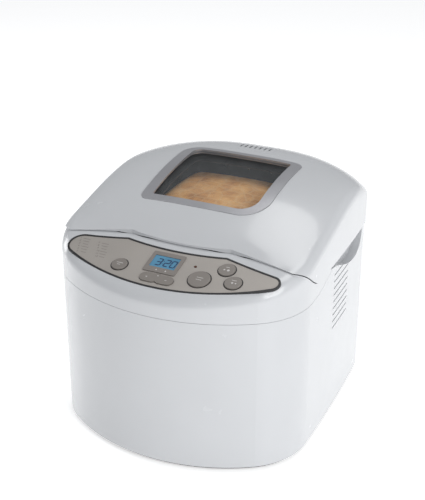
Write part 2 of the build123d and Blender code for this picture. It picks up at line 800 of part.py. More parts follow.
def make_element_clips():
    """Small posts on the oven wall, each with a hole that holds the element."""
    clips = []
    t = sheet + fit_gap
    for side in (-1, 1):
        for x in (-45, 45):
            wall_y = oven_y + side * (oven_half_y - t)
            inner_y = oven_y + side * (heater_half_y - heater_radius - 0.6)
            low, high = sorted((wall_y, inner_y))
            plate = box((x - 1, low, heater_z - 5), (x + 1, high, heater_z + 5))
            bore = Rot(0, 90, 0) * Cylinder(heater_radius + 0.15, 6)
            hole = Pos(x, oven_y + side * heater_half_y, heater_z) * bore
            clips.append(plate - hole)
    return group(clips)


def make_temperature_sensor():
    place = Pos(-30, oven_y - oven_half_y + fit_gap, sensor_z) * Rot(90, 0, 0)
    probe = Pos(0, 0, -3) * Cylinder(3.0, 12)
    flange = Pos(0, 0, 1.0) * Cylinder(6.5, 2.0)
    return place * (probe + flange)


def make_thermal_fuse():
    y = oven_y - oven_half_y + fit_gap
    body = box((22, y - 9, 96), (46, y - 1.5, 106))
    pad = box((26, y - 2, 98), (42, y, 104))
    return body + pad


def ring_sector(inner, outer, low, high, middle, angle):
    """Part of a ring about the drive axis."""
    ring = tube(0, 0, low, high, outer, inner)
    reach = outer * 1.6
    half = radians(angle / 2)
    wedge = make_face(Polyline(
        (0, 0), (reach * cos(half), -reach * sin(half)), (reach * cos(half), reach * sin(half)), close=True))
    wedge = Rot(0, 0, middle) * (Pos(0, 0, low - 1) * extrude(wedge, high - low + 2))
    return Pos(0, oven_y, 0) * (ring & wedge)


def make_pan_seat():
    seat = tube(0, oven_y, seat_z, lug_top + 4.5, seat_outer_radius, seat_inner_radius)
    seat = seat + tube(0, oven_y, seat_z, seat_z + 2, seat_outer_radius + 6, seat_inner_radius - 4)
    for k in range(lug_count):
        seat = seat + ring_sector(
            collar_radius + 1.5, seat_inner_radius + 1, lug_top + 0.5, lug_top + 3.5,
            45 + 360 / lug_count * k, lug_angle)
    return seat


def make_pan_collar():
    collar = tube(0, oven_y, collar_z, pan_bottom_z, collar_radius, collar_radius - 4)
    web = tube(0, oven_y, pan_bottom_z - 2.5, pan_bottom_z, collar_radius - 1, bush_radius)
    collar = collar + web
    for k in range(lug_count):
        collar = collar + ring_sector(
            collar_radius - 1, lug_radius, collar_z, lug_top, 45 + 360 / lug_count * k, lug_angle)
    return collar


def make_baking_pan():
    outer = rounded_prism(pan_half_x, pan_half_y, pan_corner, pan_bottom_z, pan_rim_z, 0, oven_y)
    rim = rounded_prism(
        pan_half_x + pan_rim_width, pan_half_y + pan_rim_width, pan_corner + pan_rim_width,
        pan_rim_z - 2.0, pan_rim_z, 0, oven_y)
    inner = rounded_prism(
        pan_half_x - pan_wall, pan_half_y - pan_wall, pan_corner - pan_wall,
        pan_bottom_z + pan_wall, 300, 0, oven_y)
    floor = inner.edges().group_by(Axis.Z)[0]
    inner = fillet(floor, 8)
    pan = (outer + rim) - inner
    pan = pan - rod(0, oven_y, 50, 70, bush_radius)
    for side in (-1, 1):
        x = side * (pan_half_x + 1.4)
        ear = box((x - 1.5, oven_y - 9, bail_pivot_z - 9), (x + 1.5, oven_y + 9, pan_rim_z - 1.5))
        pin = Pos(side * (pan_half_x + 5.8), oven_y, bail_pivot_z) * (Rot(0, 90, 0) * Cylinder(1.8, 7.6))
        pan = pan + ear + pin
    return pan - inner


def make_pan_bush():
    return tube(0, oven_y, pan_bottom_z - 3.6, pan_bottom_z + 6, bush_radius, shaft_radius + running_gap)


def make_pan_handle():
    """Bail that lies back along the pan's rim, with an eye round each pivot."""
    hx = pan_half_x + 6.2
    y0, z = oven_y, bail_pivot_z
    path = FilletPolyline(
        (hx, y0, z), (hx, y0 + bail_reach, z), (-hx, y0 + bail_reach, z), (-hx, y0, z), radius=bail_corner)
    section = Plane(origin=path @ 0, z_dir=path % 0) * Circle(bail_radius)
    bail = sweep(section, path=path)
    for side in (-1, 1):
        place = Pos(side * hx, y0, z) * Rot(0, 90, 0)
        bail = bail + place * Cylinder(4.2, 2 * bail_radius + 1.2)
        bail = bail - place * Cylinder(1.8 + running_gap, 12)
    return bail


def make_bread_loaf():
    gap = pan_wall + 0.5
    low = pan_bottom_z + pan_wall + 0.5
    body = rounded_prism(
        pan_half_x - gap, pan_half_y - gap, pan_corner - gap, low, loaf_top_z + 10, 0, oven_y)
    body = fillet(body.edges().group_by(Axis.Z)[0], loaf_foot_radius)
    body = body & (Pos(0, oven_y, loaf_top_z - loaf_crown_radius) * Sphere(loaf_crown_radius))
    top = [e for e in body.edges() if e.bounding_box().min.Z > pan_rim_z]
    body = fillet(top, loaf_shoulder)
    # the bail swings up over the back of the crust
    sweep = bail_reach - bail_radius - loaf_bail_room
    swing = Pos(0, oven_y, bail_pivot_z) * Rot(0, 90, 0) * Cylinder(sweep, width)
    clear = oven_y + loaf_clear_reach
    body = body & (swing + box((-half_w, -half_d, 0), (half_w, clear, loaf_top_z + 20)))
    body = body - rod(0, oven_y, 0, pan_bottom_z + 7.5, bush_radius + 0.8)
    return body - rod(0, oven_y, 60, paddle_z + paddle_height + 2, paddle_length + 3)


# ---------------------------------------------------------------- kneading drive
def make_pan_shaft():
    return rod(0, oven_y, dog_z + 1, paddle_z + paddle_height - 3, shaft_radius)


def make_pan_coupling():
    """Wing on the lower end of the pan's shaft, driven by two pegs."""
    hub = tube(0, oven_y, dog_z + 2, pan_bottom_z - 4, 6.5, shaft_radius)
    wing = box((-14, oven_y - 2.5, dog_z + 2), (14, oven_y + 2.5, dog_z + 6))
    return hub + (wing - rod(0, oven_y, 0, 100, shaft_radius))


def make_drive_coupling():
    """Disc on the drive shaft with two upright pegs."""
    disc = tube(0, oven_y, dog_z - 4, dog_z, 14, shaft_radius)
    for side in (0, 180):
        angle = radians(55 + side)
        x, y = 10.5 * cos(angle), oven_y + 10.5 * sin(angle)
        disc = disc + rod(x, y, dog_z - 1, dog_z + 6, 2.5)
    return disc


def make_drive_shaft():
    return rod(0, oven_y, belt_bottom_z - 3, dog_z, shaft_radius)


def make_kneading_paddle():
    hub = tube(0, oven_y, paddle_z, paddle_z + paddle_height, 7.5, shaft_radius)
    blade = box((0, oven_y - 1.5, paddle_z), (paddle_length, oven_y + 1.5, paddle_z + 20))
    corner = blade.edges().filter_by(Axis.Y).sort_by(lambda e: -e.center().X - e.center().Z)[0]
    blade = fillet(corner, 15) - rod(0, oven_y, 0, 200, shaft_radius)
    return hub + blade


def make_drive_bearing():
    """Housing under the oven that carries the drive shaft in its bore."""
    housing = tube(0, oven_y, chassis_z - 4, dog_z - 4.4, 11, shaft_radius + running_gap)
    flange = tube(0, oven_y, chassis_z + chassis_thickness, chassis_z + chassis_thickness + 3, 20, 10)
    return housing + flange


def make_pulley(x, y, radius, bore):
    low, high = belt_bottom_z - 1.6, belt_bottom_z + belt_height + 1.6
    wheel = rod(x, y, low, high, radius)
    wheel = wheel + rod(x, y, low, low + 1.2, radius + pulley_flange)
    wheel = wheel + rod(x, y, high - 1.2, high, radius + pulley_flange)
    return wheel - rod(x, y, low - 1, high + 1, bore)


def make_large_pulley():
    wheel = make_pulley(0, oven_y, large_pulley_radius, shaft_radius)
    low, high = belt_bottom_z - 2, belt_bottom_z + belt_height + 2
    mid = belt_bottom_z + belt_height / 2
    relief = tube(0, oven_y, mid + 2, high, large_pulley_radius - 5, 12)
    relief = relief + tube(0, oven_y, low, mid - 2, large_pulley_radius - 5, 12)
    wheel = wheel - relief
    for k in range(6):
        angle = radians(60 * k + 30)
        wheel = wheel - rod(30 * cos(angle), oven_y + 30 * sin(angle), low, high, 9)
    return wheel


def belt_loop(grow, low, high):
    """Closed outline round both pulleys, grow outside their rims."""
    a, b = large_pulley_radius + grow, motor_pulley_radius + grow
    span = oven_y - motor_y
    lean = atan((a - b) / sqrt(span ** 2 - (a - b) ** 2))
    ux, uy = cos(lean), -sin(lean)
    p1, p2 = Vector(a * ux, oven_y + a * uy), Vector(b * ux, motor_y + b * uy)
    q1, q2 = Vector(-p1.X, p1.Y), Vector(-p2.X, p2.Y)
    face = make_face([
        ThreePointArc(p1, (0, oven_y + a), q1),
        Line(q1, q2),
        ThreePointArc(q2, (0, motor_y - b), p2),
        Line(p2, p1),
    ])
    return Pos(0, 0, low) * extrude(face, high - low)


def make_drive_belt():
    low, high = belt_bottom_z + 0.3, belt_bottom_z + belt_height - 0.3
    outer = belt_loop(0.1 + belt_thickness, low, high)
    return outer - belt_loop(0.1, low - 1, high + 1)


def make_motor():
    low = chassis_z + chassis_thickness
    body = rod(0, motor_y, low, low + motor_height, motor_radius)
    body = fillet(body.edges().group_by(Axis.Z)[-1], 3)
    body = body + rod(0, motor_y, low + motor_height - 1, low + motor_height + 6, 12)
    body = body - rod(0, motor_y, low - 1, low + motor_height + 2, 4.5 - 1.45)
    for k in range(4):
        angle = radians(90 * k + 45)
        x, y = (motor_radius + 4.5) * cos(angle), motor_y + (motor_radius + 4.5) * sin(angle)
        lug = Pos(x * 0.9, motor_y + (y - motor_y) * 0.9, low + 1.5) * Box(8, 8, 3)
        ear = rod(x, y, low, low + 3, 5) + lug
        body = body + ear - rod(x, y, low - 1, low + 5, screw_radius + 0.2)
    return body


def motor_ears():
    for k in range(4):
        angle = radians(90 * k + 45)
        yield (motor_radius + 4.5) * cos(angle), motor_y + (motor_radius + 4.5) * sin(angle)


def make_motor_shaft():
    low = chassis_z + chassis_thickness
    return rod(0, motor_y, belt_bottom_z - 3, low + motor_height - 4, 3.0)


def make_motor_pulley():
    return make_pulley(0, motor_y, motor_pulley_radius, 3.0)


def make_chassis():
    low, high = chassis_z, chassis_z + chassis_thickness
    plate = box((-44, motor_y - 41, low), (44, oven_y + 40, high))
    plate = plate + box((-74, oven_y + 40, low), (74, oven_y + 62, high))
    plate = plate + box((-58, motor_y - 27, low), (58, motor_y - 3, high))
    plate = plate & plan_prism(7, 0, 100)
    plate = plate - rod(0, motor_y, 0, 100, 13) - rod(0, oven_y, 0, 100, 11.2)
    for x, y in list(chassis_posts) + list(motor_ears()):
        plate = plate - rod(x, y, 0, 100, screw_radius + 0.2)
    for x, y in oven_legs:
        plate = plate + box((x - 6, y - 1, high - 0.5), (x + 6, y + 1, oven_floor_z))
    return plate


def make_chassis_screws():
    high = chassis_z + chassis_thickness
    screws = []
    for x, y in chassis_posts:
        head = rod(x, y, high, high + 2.2, screw_head_radius)
        screws.append(rod(x, y, high - 12, high, screw_radius) + head)
    for x, y in motor_ears():
        head = rod(x, y, high + 3, high + 5.2, screw_head_radius)
        screws.append(rod(x, y, high - 8, high + 3, screw_radius) + head)
    return group(screws)


def make_tray_screws():
    return group(
        rod(x, y, foot_height + 1, 24, screw_radius) + rod(x, y, foot_height - 1, foot_height + 1, screw_head_radius)
        for x, y in tray_screws)


def make_power_board():
    board = box((-118, -58, power_board_z), (-70, -4, power_board_z + 1.6))
    board = board & plan_prism(10, 0, 100)
    parts = [
        ((-104, -50), (-80, -28), 24),
        ((-112, -24), (-98, -10), 16),
        ((-92, -22), (-80, -12), 12),
    ]
    for (x0, y0), (x1, y1), h in parts:
        board = board + box((x0, y0, power_board_z + 1), (x1, y1, power_board_z + 1.6 + h))
    return board


def make_capacitor():
    body = rod(88, -58, tray_top, tray_top + 42, 15)
    return fillet(body.edges().group_by(Axis.Z)[-1], 2)


# ---------------------------------------------------------------- lid
def make_lid_form(inset, drop, radius, step_lift):
    """Lid volume: dome over the casing outline, behind the front edge and above the step."""
    form = plan_prism(inset - lid_overhang, deck_z - 20, 300) & dome_slab(drop, 120)
    rim = []
    for edge in form.edges():
        extent = edge.bounding_box()
        run = hypot(extent.size.X, extent.size.Y)
        if extent.min.Z > deck_z + 10 and run > 3 and extent.size.Z < 0.9 * run:
            rim.append(edge)
    form = fillet(rim, radius)
    return form & extrude(lid_front_line(inset), 300) & above_step(step_lift, step_side_gap)


def window_outline(inset_side, inset_front, inset_back, grow=0.0):
    """Rounded outline with a different radius at each corner."""
    half_x = frame_half_width - inset_side + grow
    low, high = frame_front_y + inset_front - grow, frame_back_y - inset_back + grow
    radii = [max(3.0, r - 0.5 * (inset_side + inset_front) + grow) for r in frame_corners]
    outline = Polyline((-half_x, low), (half_x, low), (half_x, high), (-half_x, high), close=True)
    face = make_face(outline)
    for (x, y), radius in zip(((-half_x, low), (half_x, low), (half_x, high), (-half_x, high)), radii):
        corner = face.vertices().sort_by_distance((x, y, 0))[0]
        face = fillet(corner, radius)
    return face


def window_prism(inset_side, inset_front, inset_back, grow=0.0):
    return Pos(0, 0, 180) * extrude(window_outline(inset_side, inset_front, inset_back, grow), 110)


def vent_slots(grow):
    """Row of slanted slots at the back of the lid."""
    slots = []
    for k in range(vent_count):
        x = (k - (vent_count - 1) / 2) * vent_pitch
        sketch = SlotOverall(vent_slot[1] + grow, vent_slot[0] + grow)
        slots.append(Pos(x, vent_y, 200) * (Rot(0, 0, 90 + vent_slant) * extrude(sketch, 100)))
    return slots


def make_lid_shell():
    outer = make_lid_form(0, 0, lid_edge_radius, lid_bottom_z - deck_z)
    inner = make_lid_form(lid_wall, lid_wall, lid_edge_radius - lid_wall, -40)
    lid = outer - inner
    lid = lid - window_prism(2.5, 2.5, 2.5)
    seat = window_prism(0, 0, 0, 0.15) & dome_slab(-5, 5 + 1.4)
    lid = lid - seat
    for slot in vent_slots(0):
        lid = lid - slot
    for x, y in lid_boss_places:
        boss = rod(x, y, 190, 300, 4.5) & dome_slab(lid_wall - 0.3, inner_glass_depth - sheet - lid_wall + 0.3)
        lid = lid + boss - (rod(x, y, 190, 300, screw_radius) & dome_slab(lid_wall, 20))
    for side in (-1, 1):
        for x in hinge_screws(side):
            lid = lid - Pos(x, half_d, hinge_screw_z) * (Rot(90, 0, 0) * Cylinder(screw_radius, 20))
    return lid


def hinge_screws(side):
    return (side * knuckle_x - 8, side * knuckle_x + 8)


def axis_rod(x_low, x_high, radius):
    """Cylinder along the hinge axis."""
    return Pos((x_low + x_high) / 2, hinge_y, hinge_z) * (Rot(0, 90, 0) * Cylinder(radius, x_high - x_low))


def make_hinge_arms():
    """Arms on the back of the lid, each with a knuckle round its pin."""
    arms = []
    back = half_d + lid_overhang
    for side in (-1, 1):
        low, high = side * knuckle_x - knuckle_length / 2, side * knuckle_x + knuckle_length / 2
        arm = box((low, back, lid_bottom_z + 0.5), (high, back + arm_plate, 211))
        arm = arm + box((low, back, lid_bottom_z + 0.5), (high, hinge_y, lid_bottom_z + 2.8))
        arm = arm + axis_rod(low, high, knuckle_radius)
        arm = arm - axis_rod(low - 1, high + 1, pin_radius + pin_clearance)
        for x in hinge_screws(side):
            arm = arm - Pos(x, back, hinge_screw_z) * (Rot(90, 0, 0) * Cylinder(screw_radius + 0.15, 8))
        arms.append(arm)
    return group(arms)


def make_hinge_brackets():
    """Pairs of ears on the back of the casing."""
    brackets = []
    reach = knuckle_length / 2 + fit_gap
    for side in (-1, 1):
        middle = side * knuckle_x
        plate = box((middle - reach - ear_length, half_d, 164), (middle + reach + ear_length, half_d + 2, 186))
        for end in (-1, 1):
            low, high = sorted((middle + end * reach, middle + end * (reach + ear_length)))
            ear = axis_rod(low, high, knuckle_radius)
            ear = ear + box((low, half_d, 172), (high, half_d + 3.5, hinge_z))
            web = make_face(Polyline(
                (half_d + 1, 170), (hinge_y + 3, hinge_z - 5), (hinge_y + 3, hinge_z), (half_d + 1, hinge_z), close=True))
            web = extrude(Plane.YZ * web, high - low)
            plate = plate + ear + Pos(low, 0, 0) * web
        plate = plate - axis_rod(middle - 30, middle + 30, pin_radius + 0.03)
        for x in (middle - 7, middle + 7):
            plate = plate - Pos(x, half_d, 170) * (Rot(90, 0, 0) * Cylinder(screw_radius + 0.15, 12))
        brackets.append(plate)
    return group(brackets)


def make_bracket_screws():
    screws = []
    for side in (-1, 1):
        for dx in (-7, 7):
            place = Pos(side * knuckle_x + dx, half_d + 2, 170) * Rot(-90, 0, 0)
            shaft = Pos(0, 0, -3.5) * Cylinder(screw_radius, 9)
            screws.append(place * (shaft + Pos(0, 0, 1) * Cylinder(screw_head_radius, 2)))
    return group(screws)


def make_hinge_pins():
    reach = knuckle_length / 2 + fit_gap + ear_length
    return group(
        axis_rod(side * knuckle_x - reach, side * knuckle_x + reach, pin_radius) for side in (-1, 1))


def make_window_frame():
    ring = window_prism(0, 0, 0) - window_prism(frame_band_side, frame_band_front, frame_band_back)
    top = ring & dome_slab(-frame_proud, frame_proud + 1.4)
    neck = window_prism(2.8, 2.8, 2.8) - window_prism(frame_band_side, frame_band_front, frame_band_back)
    low = neck & dome_slab(0.5, frame_thickness)
    frame = top + low
    rebate = window_prism(frame_band_side - 3, frame_band_front - 3, frame_band_back - 3)
    return frame - (rebate & dome_slab(glass_recess, glass_thickness + 6))


def make_window_glass():
    rebate = 3 - 0.15
    plate = window_prism(frame_band_side - rebate, frame_band_front - rebate, frame_band_back - rebate)
    return plate & dome_slab(glass_recess + 0.1, glass_thickness - 0.1)


def inner_block(grow, low, high):
    half_y = (inner_back_y - inner_front_y) / 2
    middle = (inner_back_y + inner_front_y) / 2
    return rounded_prism(inner_half_x + grow, half_y + grow, 26 + grow, low, high, 0, middle)


def make_lid_inner_panel():
    """Pressed liner: a deep dish that follows the dome, with a flange along its lower edge."""
    skirt_low = inner_skirt_z
    outer = inner_block(0, skirt_low, 300) & dome_slab(inner_glass_depth - sheet, 140)
    inner = inner_block(-sheet, skirt_low - 10, 300) & dome_slab(inner_glass_depth, 160)
    panel = outer - inner
    flange = inner_block(inner_flange, skirt_low, skirt_low + sheet)
    panel = panel + (flange - inner_block(-sheet, skirt_low - 5, skirt_low + 5))
    opening = window_prism(frame_band_side + 2, frame_band_front + 2, frame_band_back + 2)
    panel = panel - opening
    for k in range(6):
        panel = panel - rod((k - 2.5) * 9, vent_y - 3, 200, 300, 2.5)
    for x, y in lid_boss_places:
        panel = panel - rod(x, y, 200, 300, screw_radius + 0.2)
    return panel


def make_lid_seal():
    low = deck_z + fit_gap
    outer = inner_block(inner_flange, low, inner_skirt_z)
    return outer - inner_block(inner_flange - 3, low - 1, inner_skirt_z + 1)


def make_lid_screws():
    """Screws that hold the liner under the lid, and the hinge arms to its back."""
    screws = []
    for x, y in lid_boss_places:
        level = dome_height(x, y) - inner_glass_depth
        shaft = rod(x, y, level - 2, level + 8, screw_radius)
        screws.append(shaft + rod(x, y, level - 3.4, level - 1.4, screw_head_radius))
    for side in (-1, 1):
        for x in hinge_screws(side):
            y = half_d + lid_overhang + arm_plate
            place = Pos(x, y, hinge_screw_z) * Rot(-90, 0, 0)
            shaft = Pos(0, 0, -2.5) * Cylinder(screw_radius, 7)
            screws.append(place * (shaft + Pos(0, 0, 1) * Cylinder(screw_head_radius, 2)))
    return group(screws)


def make_inner_glass():
    plate = window_prism(frame_band_side - 4, frame_band_front - 4, frame_band_back - 4)
    return plate & dome_slab(inner_glass_depth - sheet - 3.2, 3.0)


def make_vent_insert():
    outline = RectangleRounded(vent_count * vent_pitch + 14, vent_slot[1] + 8, 6)
    plate = Pos(0, vent_y, 200) * extrude(outline, 100)
    plate = plate & dome_slab(lid_wall + 0.15, 2.0)
    for slot in vent_slots(-0.6):
        plate = plate - slot
    return plate


if __name__ == "__main__":
    os.makedirs("parts", exist_ok=True)
    node("body_shell", make_body_shell())
    node("base_tray", make_base_tray())
    node("rubber_feet", make_feet())
    node("rear_grille", make_rear_grille())
    node("cord_gland", make_cord_gland())
    node("control_deck", make_control_deck())
    node("panel_gasket", make_panel_gasket())
    node("control_panel", make_control_panel())
    for name, (x, v, radius) in round_keys.items():
        node(name, make_round_key(x, v, radius))
    node("timer_rocker", make_timer_rocker())
    node("lcd_bezel", make_lcd_bezel())
    node("lcd_lens", make_lcd_lens())
    node("lcd_module", make_lcd_module())
    node("indicator_led", make_indicator_led())
    node("control_board", make_control_board())
    node("key_switches", make_key_switches())
    node("board_screws", make_board_screws())
    node("oven_chamber", make_oven_chamber())
    node("heating_element", make_heating_element())
    node("element_clips", make_element_clips())
    node("temperature_sensor", make_temperature_sensor())
    node("thermal_fuse", make_thermal_fuse())
    node("pan_seat", make_pan_seat())
    node("drive_bearing", make_drive_bearing())
    node("chassis_plate", make_chassis())
    node("chassis_screws", make_chassis_screws())
    node("tray_screws", make_tray_screws())
    node("motor", make_motor())
    node("power_board", make_power_board())
    node("motor_capacitor", make_capacitor())
    node("drive_belt", make_drive_belt())
    node("motor_shaft", make_motor_shaft())
    node("motor_pulley", make_motor_pulley())
    node("drive_shaft", make_drive_shaft())
    node("drive_coupling", make_drive_coupling())
    node("large_pulley", make_large_pulley())
    node("baking_pan", make_baking_pan())
    node("pan_collar", make_pan_collar())
    node("pan_bush", make_pan_bush())
    node("bread_loaf", make_bread_loaf())
    node("pan_handle", make_pan_handle())
    node("pan_shaft", make_pan_shaft())
    node("pan_coupling", make_pan_coupling())
    node("kneading_paddle", make_kneading_paddle())
    node("lid_shell", make_lid_shell())
    node("window_frame", make_window_frame())
    node("window_glass", make_window_glass())
    node("lid_inner_panel", make_lid_inner_panel())
    node("inner_glass", make_inner_glass())
    node("vent_insert", make_vent_insert())
    node("lid_seal", make_lid_seal())
    node("lid_screws", make_lid_screws())
    node("hinge_arms", make_hinge_arms())
    node("hinge_brackets", make_hinge_brackets())
    node("bracket_screws", make_bracket_screws())
    node("hinge_pins", make_hinge_pins())
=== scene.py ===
# %% [markdown]
# # A countertop bread machine
# The imported model comes in as a fixed frame: every casing piece, key, shaft and screw
# is already in its place. This lesson gives each of them its finish, adds the printed marks
# and small details that sit on top, bakes a loaf for the pan, and lights the result.

# %% Load the frame
from math import cos, pi, radians, sin

import bmesh
import bpy
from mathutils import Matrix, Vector
from mathutils.bvhtree import BVHTree


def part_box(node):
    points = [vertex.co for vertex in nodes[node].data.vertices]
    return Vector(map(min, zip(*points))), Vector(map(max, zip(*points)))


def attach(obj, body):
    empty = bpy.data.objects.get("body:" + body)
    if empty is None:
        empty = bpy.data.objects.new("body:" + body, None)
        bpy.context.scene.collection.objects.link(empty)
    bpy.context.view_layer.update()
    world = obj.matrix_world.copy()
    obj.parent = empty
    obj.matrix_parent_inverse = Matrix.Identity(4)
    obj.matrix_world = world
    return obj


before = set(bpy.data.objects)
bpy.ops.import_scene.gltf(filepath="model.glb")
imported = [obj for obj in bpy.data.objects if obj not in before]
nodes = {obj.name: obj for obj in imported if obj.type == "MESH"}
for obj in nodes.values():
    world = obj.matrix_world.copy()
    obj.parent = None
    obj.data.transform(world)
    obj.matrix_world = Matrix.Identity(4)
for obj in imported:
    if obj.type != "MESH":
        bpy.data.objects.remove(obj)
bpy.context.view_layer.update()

# %% [markdown]
# ## A small language for finishes
# A finish is a node tree. Wiring nodes by hand hides the idea, so one class wraps a
# socket and lets its values be added and multiplied like numbers. One method makes any
# other node from its type, its settings and what its sockets take.

# %% The wire class
class Wire:
    """A value that flows between the nodes of one material."""

    def __init__(self, finish, socket):
        self.finish, self.socket = finish, socket

    def math(self, operation, other, swapped=False):
        pair = (other, self) if swapped else (self, other)
        inputs = {0: pair[0], 1: pair[1]}
        return self.finish.node("ShaderNodeMath", {"operation": operation}, inputs)

    def __add__(self, other):
        return self.math("ADD", other)

    def __sub__(self, other):
        return self.math("SUBTRACT", other)

    def __rsub__(self, other):
        return self.math("SUBTRACT", other, swapped=True)

    def __mul__(self, other):
        return self.math("MULTIPLY", other)

    def __truediv__(self, other):
        return self.math("DIVIDE", other)

    def __pow__(self, other):
        return self.math("POWER", other)

    __radd__ = __add__
    __rmul__ = __mul__


# %% The finish class
class Finish:
    """A material with one Principled shader; constants go straight onto its sockets."""

    def __init__(self, name, **constants):
        self.material = bpy.data.materials.new(name)
        self.material.use_nodes = True
        self.tree = self.material.node_tree
        self.shader = self.tree.nodes["Principled BSDF"]
        for key, value in constants.items():
            self.shader.inputs[key.replace("_", " ")].default_value = value

    def node(self, kind, settings=None, inputs=None, out=0):
        made = self.tree.nodes.new(kind)
        for key, value in (settings or {}).items():
            if key == "stops":
                ramp = made.color_ramp.elements
                while len(ramp) < len(value):
                    ramp.new(0.5)
                for element, (place, color) in zip(ramp, value):
                    element.position, element.color = place, (*color, 1)
            else:
                setattr(made, key, value)
        for key, value in (inputs or {}).items():
            if isinstance(value, Wire):
                self.tree.links.new(value.socket, made.inputs[key])
            else:
                made.inputs[key].default_value = value
        return Wire(self, made.outputs[out])

    def feed(self, socket, wire):
        self.tree.links.new(wire.socket, self.shader.inputs[socket])

    def place(self, scale=(1, 1, 1)):
        """Object coordinates, stretched by scale."""
        where = self.node("ShaderNodeTexCoord", out=3)
        inputs = {"Vector": where, "Scale": scale}
        return self.node("ShaderNodeMapping", {"vector_type": "POINT"}, inputs)

    def cloud(self, scale, detail=4.0, stretch=(1, 1, 1), rough=0.5):
        """Soft noise from 0 to 1; scale is in features per metre."""
        return self.node("ShaderNodeTexNoise", {}, {
            "Vector": self.place(stretch), "Scale": scale, "Detail": detail, "Roughness": rough})

    def ramp(self, wire, *stops):
        return self.node("ShaderNodeValToRGB", {"stops": stops}, {"Fac": wire})

    def spread(self, wire, low, high, new_low=0.0, new_high=1.0):
        return self.node("ShaderNodeMapRange", {"clamp": True}, {
            "Value": wire, "From Min": low, "From Max": high,
            "To Min": new_low, "To Max": new_high})

    def bump(self, height, depth, strength=1.0):
        """Relief: height runs from 0 to 1 and depth is its real size in metres."""
        self.feed("Normal", self.node("ShaderNodeBump", {}, {
            "Strength": strength, "Distance": depth, "Height": height}))


# %% [markdown]
# ## The white casing
# The real casing is injection-moulded plastic with a high polish: nearly white, a touch
# cool, with the faint orange-peel ripple of moulded gloss. The ripple is a bump a few
# hundredths of a millimetre deep, and the roughness drifts slightly where hands rub it.

# %% Moulded plastics
def moulded(name, color, roughness, ripple=0.00002, ripple_scale=350.0,
            drift=0.04, coat=0.0, grain=0.0):
    """Moulded plastic: drifting colour and gloss, a soft ripple, optional fine grain."""
    finish = Finish(name, Coat_Weight=coat, Coat_Roughness=0.08, Specular_IOR_Level=0.5)
    broad = finish.cloud(14.0, 3.0)
    dark, light = (tuple(c * (1 + tint) for c in color) for tint in (-0.015, 0.015))
    finish.feed("Base Color", finish.ramp(broad, (0.3, dark), (0.7, light)))
    wear = finish.cloud(45.0, 5.0)
    finish.feed("Roughness", finish.spread(wear, 0.25, 0.75, roughness - drift, roughness + drift))
    height = finish.cloud(ripple_scale, 2.0)
    if grain:
        height = height * (1 - grain) + finish.cloud(2600.0, 2.0) * grain
    finish.bump(height, ripple, 0.5)
    return finish.material


WHITE = moulded("white_gloss", (0.60, 0.612, 0.63), 0.24, ripple=0.000012, coat=0.5)
HINGE_WHITE = moulded("hinge_white", (0.72, 0.73, 0.745), 0.38)
BLACK = moulded("black_moulded", (0.018, 0.018, 0.02), 0.5, ripple=0.00006, grain=0.7)
SEAM_RUBBER = moulded("gasket_black", (0.012, 0.012, 0.013), 0.42, ripple=0.00002)
KEY_TAUPE = moulded("key_taupe", (0.235, 0.212, 0.192), 0.36, ripple=0.00002, grain=0.3, coat=0.15)
BEZEL_TAUPE = moulded("bezel_taupe", (0.235, 0.212, 0.195), 0.33, ripple=0.00002, coat=0.2)
FOOT_RUBBER = moulded("foot_rubber", (0.03, 0.03, 0.031), 0.75, ripple=0.0001, grain=0.5)
SILICONE = moulded("seal_silicone", (0.36, 0.36, 0.35), 0.6, ripple=0.00004)
NYLON = moulded("natural_nylon", (0.66, 0.63, 0.56), 0.48)
print("plastics ready")


# %% [markdown]
# ## The panel's satin paint
# The lens-shaped panel is plastic sprayed with a fine metallic paint. Tiny flakes catch
# the light, so the base is slightly metallic and a very fine Voronoi pattern varies it.

# %% Metallic paint
def sprayed(name, color, metallic, roughness, flake_scale=2200.0):
    finish = Finish(name, Coat_Weight=0.2, Coat_Roughness=0.15)
    flake = finish.node("ShaderNodeTexVoronoi", {"feature": "F1"}, {
        "Vector": finish.place(), "Scale": flake_scale}, out=0)
    broad = finish.cloud(30.0, 3.0)
    mixed = flake * 0.35 + broad * 0.65
    dark, light = (tuple(c * tint for c in color) for tint in (0.93, 1.07))
    finish.feed("Base Color", finish.ramp(mixed, (0.2, dark), (0.8, light)))
    finish.feed("Metallic", finish.spread(flake, 0.0, 1.0, metallic * 0.7, metallic))
    finish.feed("Roughness", finish.spread(broad, 0.3, 0.7, roughness - 0.04, roughness + 0.05))
    finish.bump(flake, 0.00001, 0.4)
    return finish.material


PANEL_TAUPE = sprayed("panel_taupe", (0.40, 0.37, 0.34), 0.25, 0.42)
SILVER = sprayed("frame_silver", (0.40, 0.40, 0.42), 0.55, 0.32)


# %% [markdown]
# ## Metals inside
# The oven, the pan, the element and the drive are metal. Sheet keeps the marks of its
# rolling in one direction, castings are speckled, and turned shafts have fine rings.
# One function covers them, with the direction of the marks as a stretch.

# %% Metals
def metal(name, color, roughness, stretch=(1, 1, 1), scale=400.0, marks=0.00002,
          metallic=1.0, tint=None):
    finish = Finish(name)
    lines = finish.cloud(scale, 6.0, stretch, 0.6)
    dull = finish.cloud(18.0, 4.0)
    dark = tint or tuple(c * 0.82 for c in color)
    finish.feed("Base Color", finish.ramp(dull, (0.3, dark), (0.7, color)))
    worn = lines * 0.5 + dull * 0.5
    finish.feed("Roughness", finish.spread(worn, 0.3, 0.7, roughness - 0.07, roughness + 0.1))
    finish.feed("Metallic", finish.spread(dull, 0.2, 0.8, metallic * 0.9, metallic))
    finish.bump(lines, marks, 0.6)
    return finish.material


